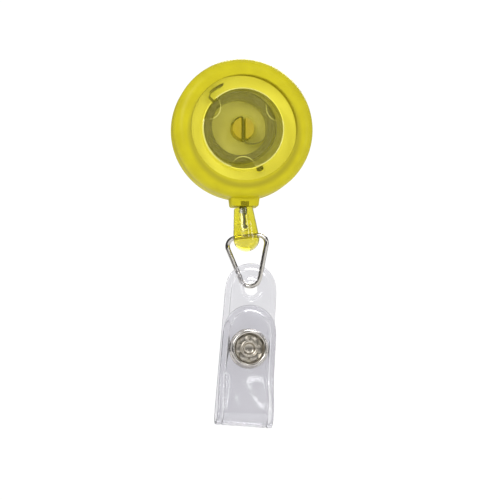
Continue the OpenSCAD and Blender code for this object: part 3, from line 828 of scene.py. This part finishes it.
def cord_runs():
    inner = piece("cord_inside", *swept(smooth_path(INNER_RUN, 5), CORD_R, 10), ROW, CORD, "black_cord", 80)
    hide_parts("cord_inner_run")
    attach(inner, "case")
    top, low = INNER_RUN[-1][2], STOPPER_TOP_Z - 0.1
    rows = 60
    path = [(EXIT_X, -MID_D, top + (low - top) * k / rows) for k in range(rows + 1)]
    outer = piece("cord_drawn", *swept(path, CORD_R, 10), ROW, CORD, "black_cord", 80)
    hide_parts("cord_outer_run")
    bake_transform(outer)


def stopper_knot():
    """The wrapped knot at the top of the fitting, and the tail below with its own small knot."""
    turns, pitch, coil_r, cord_r = 4.1, 0.66, 0.56, 0.38
    steps = 22
    wrap = []
    for k in range(int(turns * steps) + 1):
        a = 2 * math.pi * k / steps
        wrap.append((EXIT_X + coil_r * math.cos(a), -MID_D + coil_r * math.sin(a),
                     STOPPER_TOP_Z - cord_r - 0.02 - pitch * max(0, k / steps - 1)))
    start = (EXIT_X, -MID_D, STOPPER_TOP_Z + 0.05)
    core = [start, (EXIT_X + 0.05, -MID_D, STOPPER_TOP_Z - 1.2),
            (EXIT_X + 0.13, -MID_D, STOPPER_TOP_Z - 2.3)]
    knot_shape = merged(swept(wrap, cord_r, 10), swept(smooth_path(core, 4), 0.3, 8))
    knot = piece("cord_knot_top", *knot_shape, ROW, CORD, "black_cord", 80)
    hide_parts("cord_stopper_knot")
    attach(knot, "cord_end")
    x, z = EXIT_X + 0.13, STOPPER_TOP_Z - 2.2
    bends = ((0, 0), (0.05, 0.8), (0.15, 1.4), (0.2, 2.0), (0.15, 2.5), (0.3, 3.0))
    strand = smooth_path([(x + right, -MID_D, z - down) for right, down in bends], 5)
    loops = []
    for k in range(37):
        t = 2 * math.pi * k / 36
        loops.append((x + 0.32 + 0.28 * math.sin(3 * t), -MID_D + 0.26 * math.cos(2 * t),
                      z - 3.3 + 0.27 * math.cos(3 * t)))
    tail_shape = merged(swept(strand, 0.28, 8), swept(loops, 0.25, 8))
    tail = piece("cord_tail_end", *tail_shape, ROW, CORD, "black_cord", 80)
    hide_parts("cord_tail")
    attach(tail, "cord_end")


# --- fitting and ring ---

def fitting():
    cone_end = FITTING_LEN - FITTING_END_R
    knot_r, tail_r = 1.05, 0.45
    outline = [(tail_r, -3.1), (knot_r, -3.05), (knot_r, -0.15), (1.2, 0), (FITTING_TOP_R - 0.3, 0)]
    outline += arc((FITTING_TOP_R - 0.25, -0.27), 0.27, 90, 5, 5)
    outline += arc((0, -cone_end), FITTING_END_R, 6, -90, 28)
    outline[-1] = (0, -FITTING_LEN)
    outline += [(0, -5.45), (0.8, -5.4), (knot_r, -5.15), (knot_r, -3.75), (tail_r, -3.7)]
    made = piece("cord_end_skin", *revolved(outline, 96), HOOK, AMBER, "fitting_yellow", 50)
    bore_r = WIRE_R + 0.06
    bore, faces = revolved([(0, -6), (bore_r, -6), (bore_r, 6), (0, 6)], 32)
    lying = [(z, y, -BAR_DROP - x) for x, y, z in bore]
    cross = piece("bore", lying, faces, HOOK, AMBER, "fitting_yellow")
    upright = local_frame(TWIST["pos_m"], (1, 0, 0), -Vector(TWIST["axis"]))
    window = piece("window", *rounded_box(2.0, 10, -5.3, -3.75, 0.3),
                   upright @ Matrix.Translation((0, 5, 0)), AMBER, "fitting_yellow")
    combine(made, [cross, window], "DIFFERENCE", 50)
    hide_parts("cord_end_fitting")
    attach(made, "fitting")


def wire_ring():
    """A triangle of wire with round corners, in the fitting's frame."""
    drop = RING_HALF / math.tan(RING_LEG_ANGLE)
    tip = drop - RING_TIP_R * (1 / math.sin(RING_LEG_ANGLE) - 1)
    bar = RING_HALF - RING_CORNER_R * math.tan(math.pi / 4 + RING_LEG_ANGLE / 2)
    leg = math.degrees(RING_LEG_ANGLE)
    corner = arc((bar, -RING_CORNER_R), RING_CORNER_R, 90, -leg, 16)
    end = arc((0, RING_TIP_R - tip), RING_TIP_R, -leg, -90, 12)
    start, stop = Vector(corner[-1]), Vector(end[0])
    side = [tuple(start.lerp(stop, k / 10)) for k in range(1, 10)]
    half = [(bar * k / 4, 0) for k in range(4)] + corner + side + end
    outline = half + [(-x, z) for x, z in half[-2:0:-1]]
    path = [(x, 0, z - BAR_DROP) for x, z in outline]
    made = piece("wire_ring_round", *swept(path, WIRE_R, 24, True), HOOK, NICKEL, "nickel_plate", 80)
    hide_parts("wire_ring")
    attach(made, "ring")


# --- strap ---

def strap_half(z):
    """Half the strap's width at height z."""
    return 5.85 + 0.5 * (-z) / (FOLD_R + VINYL_T / 2 - FOLD_Z)


def flap_depth(z):
    """Depth of the flap's middle at height z."""
    if z > FLAP_FLAT_Z:
        return FLAP_NEAR
    f = ((FLAP_FLAT_Z - z) / (FLAP_FLAT_Z - FOLD_Z)) ** 1.2
    return FLAP_NEAR + (2 * FOLD_R - FLAP_NEAR) * f * f * (3 - 2 * f)


def ridge(height, distance, middle, width):
    """The height of a smooth ridge at a distance, or of a groove if its height is negative."""
    return height * math.exp(-((distance - middle) / width) ** 2)


def relief(edge, hole):
    """Thickness of the vinyl, in parts of the full one, at a distance from the edge and from the hole."""
    weld = ridge(-0.5, edge, 1.3, 0.16) + ridge(0.25, edge, 1.75, 0.22)
    rounding = ridge(-0.6, edge, 0, 0.1)
    emboss = 0.0
    if hole is not None:
        emboss = ridge(0.55, hole, 1.15, 0.22) + ridge(-0.3, hole, 0.55, 0.2) + ridge(-0.4, hole, 0, 0.08)
    return 1 + weld + rounding + emboss


# The grid's distances from the edge and from the hole, closest where the relief is steepest, and its radii
# where there is no hole.
EDGE_STEPS = [0, 0.03, 0.1, 0.25, 0.6, 1.0, 1.12, 1.2, 1.26, 1.32, 1.38, 1.46, 1.56, 1.68, 1.8, 1.95, 2.15,
              2.45]
HOLE_STEPS = [0, 0.03, 0.1, 0.25, 0.4, 0.55, 0.7, 0.82, 0.94, 1.06, 1.18, 1.3, 1.42]
MIDDLE_RADII = [0.25, 0.6, 1.0, 1.5, 2.1, 2.6]
INNER_R = 3.0            # the round end's grid goes all the way round inside this
ROW_HEIGHT = 0.45


def vinyl_sheet(name, length, hole_r, width_at, bend, waves):
    """A sheet of vinyl with a round top end, of the length from its top to its straight lower end.

    It is drawn flat, with y from 0 at the top down to -length, as a polar grid in the round end and columns
    below it. Then bend(y) gives (depth, z, tilt) along its middle, and waves(x, y) a small shift off it."""
    top_r = width_at(0)
    radii = [top_r - step for step in EDGE_STEPS]
    near = [hole_r + step for step in HOLE_STEPS] if hole_r else MIDDLE_RADII
    radii += [r for r in reversed(near) if r < radii[-1] - 0.02]
    split = next(i for i, r in enumerate(radii) if r <= INNER_R + 1e-6 or i == len(radii) - 1)
    inner_r = radii[split]
    rays = 32
    flat, faces = [], []

    def add(x, y, edge, hole):
        flat.append((x, y, edge, hole))
        return len(flat) - 1

    def add_below(kind, y):
        """A point of a column, which keeps its distance from the edge, or its share of the width."""
        half = width_at(y)
        if kind[0] == "edge":
            x = kind[2] * (half - kind[1])
        else:
            x = kind[1] * half / top_r if abs(kind[1]) > INNER_R + 0.01 else kind[1]
        hole = math.hypot(x, y + top_r) - hole_r if hole_r else None
        return add(x, y, half - abs(x), hole)

    # The upper half of the round end, and the lower half only inside inner_r.
    grid = []
    for i, r in enumerate(radii):
        row = []
        for k in range(rays + 1 if i < split else 2 * rays):
            x, y = polar(r, math.pi * k / rays)
            row.append(add(x, y - top_r, top_r - r, r - hole_r if hole_r else None))
        grid.append(row)
    for i, (outer, inner) in enumerate(zip(grid, grid[1:])):
        for k in range(rays if i < split else 2 * rays):
            n = (k + 1) % (2 * rays)
            faces.append((outer[k], outer[n], inner[n], inner[k]))
    if not hole_r:
        middle = add(0, -top_r, top_r, None)
        faces += [(a, b, middle) for a, b in zip(grid[-1], grid[-1][1:] + grid[-1][:1])]

    # Columns from the left edge to the right, which start on the round end's lower boundary. Each keeps
    # its distance from the edge ("edge", distance, side) or its place in the width ("in", x).
    def outer_kind(i, side):
        return ("edge", EDGE_STEPS[i], side) if i < len(EDGE_STEPS) else ("in", side * radii[i])

    starts = [(grid[i][rays], outer_kind(i, -1)) for i in range(split)]
    starts += [(grid[split][rays + k], ("in", inner_r * math.cos(math.pi + math.pi * k / rays)))
               for k in range(rays)]
    starts += [(grid[split][0], ("in", inner_r))]
    starts += [(grid[i][0], outer_kind(i, 1)) for i in reversed(range(split))]
    level = -top_r - inner_r - 0.6
    ease_rows, rows = 8, max(int((length + level) / ROW_HEIGHT), 1)
    ys = [level - (length + level) * k / rows for k in range(rows + 1)]
    columns = []
    for index, kind in starts:
        y0 = flat[index][1]
        eased_ys = [y0 + (level - y0) * k / ease_rows for k in range(1, ease_rows)]
        columns.append([index] + [add_below(kind, y) for y in eased_ys + ys])
    for left, right in zip(columns, columns[1:]):
        for k in range(len(left) - 1):
            faces.append((left[k], right[k], right[k + 1], left[k + 1]))
    return raise_sheet(name, flat, faces, bend, waves)


def raise_sheet(name, flat, faces, bend, waves):
    """Gives the flat grid its thickness, relief, waves and bend, and closes its rim."""
    verts = []
    for side in (1, -1):
        for x, y, edge, hole in flat:
            depth, z, tilt = bend(y)
            off = side * VINYL_T / 2 * relief(edge, hole) + waves(x, y)
            verts.append((x, -(depth + off * math.cos(tilt)), z + off * math.sin(tilt)))
    count = len(flat)
    edges = {}
    for face in faces:
        for a, b in zip(face, face[1:] + face[:1]):
            key = (min(a, b), max(a, b))
            edges[key] = None if key in edges else (a, b)
    solid = list(faces) + [tuple(i + count for i in reversed(face)) for face in faces]
    solid += [(b, a, a + count, b + count) for a, b in (pair for pair in edges.values() if pair)]
    return piece(name, verts, solid, STRAP, VINYL, "clear_vinyl", 60)


def strap_back():
    """The hole end and the back layer, down to the seam above the fold."""
    def bend(y):
        return 0, TAB_TOP + y, 0

    def waves(x, y):
        return 0.05 * math.sin(0.45 * y + 0.5) * math.cos(0.35 * x) * min(1, max(0, -y - 8) / 6)

    def width_at(y):
        return strap_half(TAB_TOP + y)

    made = vinyl_sheet("strap_back_skin", TAB_TOP - SEAM_Z, HOLE_R, width_at, bend, waves)
    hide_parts("strap_tab", "strap_back")
    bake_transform(made)


def fold_path():
    """The flap's middle line: from its round end down the front, round the fold and up to the seam."""
    heights = np.linspace(FLAP_TOP, FOLD_Z, 120)
    down = [(flap_depth(z), z) for z in heights]
    round_fold = [(FOLD_R + FOLD_R * math.cos(a), FOLD_Z - FOLD_R * math.sin(a))
                  for a in np.linspace(0, math.pi, 60)][1:]
    return np.array(down + round_fold + [(0, SEAM_Z)])


def strap_flap():
    path = fold_path()
    steps = np.linalg.norm(np.diff(path, axis=0), axis=1)
    along = np.concatenate(([0], np.cumsum(steps)))
    tilts = np.unwrap(np.arctan2(np.diff(path[:, 0]), -np.diff(path[:, 1])))
    middles = (along[1:] + along[:-1]) / 2

    def bend(y):
        s = -y
        return (float(np.interp(s, along, path[:, 0])), float(np.interp(s, along, path[:, 1])),
                float(np.interp(s, middles, tilts)))

    def waves(x, y):
        from_snap = min(1, max(0, abs(y - SNAP_Z + FLAP_TOP) - 4.5) / 4)
        from_ends = min(1, max(0, -y - 1.5) / 6) * min(1, max(0, along[-1] + y - 6) / 6)
        crown = 0.22 * (1 - (x / 5.5) ** 2)
        ripple = 0.07 * math.sin(0.55 * y + 0.35 * x) + 0.05 * math.cos(0.9 * x + 0.4 * y)
        return from_snap * from_ends * (crown + ripple)

    def width_at(y):
        return strap_half(bend(y)[1])

    made = vinyl_sheet("strap_flap_skin", float(along[-1]), None, width_at, bend, waves)
    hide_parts("strap_fold", "strap_flap")
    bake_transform(made)


# --- snap ---

def snap_cup():
    base = FLAP_NEAR + VINYL_T / 2 + 0.02
    rim = base + 1.83
    outline = [(1.5, base), (4.35, base), (4.5, base + 0.1), (4.5, base + 0.28), (4.38, base + 0.42),
               (4.2, base + 0.6)]
    roll_r, well_r = 0.32, 3.28
    outline += arc((4.05 - roll_r, rim - roll_r), roll_r, 15, 165, 10)
    outline += [(3.3, base + 0.95), (3.2, base + 0.6), (3.0, base + 0.42), (1.5, base + 0.42)]

    def floor(centre):
        return 1 if centre.xy.length < well_r and centre.z > base + 0.2 else 0

    paint = [NICKEL, SHADE], floor
    made = piece("snap_cup_round", *revolved(outline, 96), SNAP, paint, "nickel_plate", 50)
    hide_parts("snap_cup")
    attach(made, "flap")


def snap_post():
    """The blind tubular rivet: its end is rolled into a ring with six petals spread under it."""
    half_layer, socket_t, cup_t = 0.275, 0.55, 0.42
    head = FLAP_NEAR - half_layer - socket_t
    floor = FLAP_NEAR + half_layer + cup_t
    outline = [(0, head), (2.2, head), (2.2, head + 0.18), (1.45, head + 0.18)]
    outline += [(radius, floor + rise) for radius, rise in (
        (1.45, 0), (1.9, 0.12), (2.0, 0.32), (1.92, 0.5), (1.68, 0.6), (1.42, 0.53), (1.28, 0.3), (1.2, 0),
        (1.1, -0.2), (0.9, -0.3), (0, -0.28))]
    rivet = revolved(outline, 72)
    petals = []
    steps, rings, thick = 8, 6, 0.16
    wide = steps + 1
    for k in range(6):
        middle = math.radians(62 + 60 * k)
        top, low = [], []
        for i in range(rings + 1):
            f = i / rings
            radius = 1.75 + 1.38 * f
            half = math.radians(27 - 8 * f - 6 * f ** 6)
            height = floor + 0.36 - 0.2 * f + 0.06 * math.sin(math.pi * f)
            for j in range(wide):
                u = 2 * j / steps - 1
                a = middle + half * u
                sag = 0.07 * u * u
                top.append(polar(radius, a, height - sag))
                low.append(polar(radius, a, height - sag - thick))
        count = len(top)
        faces = []
        for i in range(rings):
            for j in range(steps):
                a, b = i * wide + j, (i + 1) * wide + j
                faces += [(a, b, b + 1, a + 1), (count + a, count + a + 1, count + b + 1, count + b)]
        rim = list(range(wide)) + [i * wide + steps for i in range(1, rings + 1)]
        rim += [rings * wide + j for j in reversed(range(steps))]
        rim += [i * wide for i in reversed(range(1, rings))]
        faces += [(a, b, count + b, count + a) for a, b in zip(rim, rim[1:] + rim[:1])]
        petals.append((top + low, faces))
    made = piece("snap_post_petals", *merged(rivet, *petals), SNAP, DARK_NICKEL, "nickel_plate", 50)
    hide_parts("snap_post")
    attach(made, "flap")


def keep_cad_nodes():
    """The snap's hidden pieces keep their CAD shape, with a metal of their own."""
    metals = {"snap_eyelet": NICKEL, "snap_stud": NICKEL, "snap_socket": NICKEL, "socket_spring": STEEL}
    for node, paint in metals.items():
        mesh = frame["nodes"][node].data
        mesh.materials.clear()
        mesh.materials.append(paint)


front_shell()
back_shell()
belt_clip()
spool()
spring_cover()
mainspring()
cord_winding()
anchor_knot()
cord_runs()
stopper_knot()
fitting()
wire_ring()
strap_back()
strap_flap()
snap_cup()
snap_post()
keep_cad_nodes()
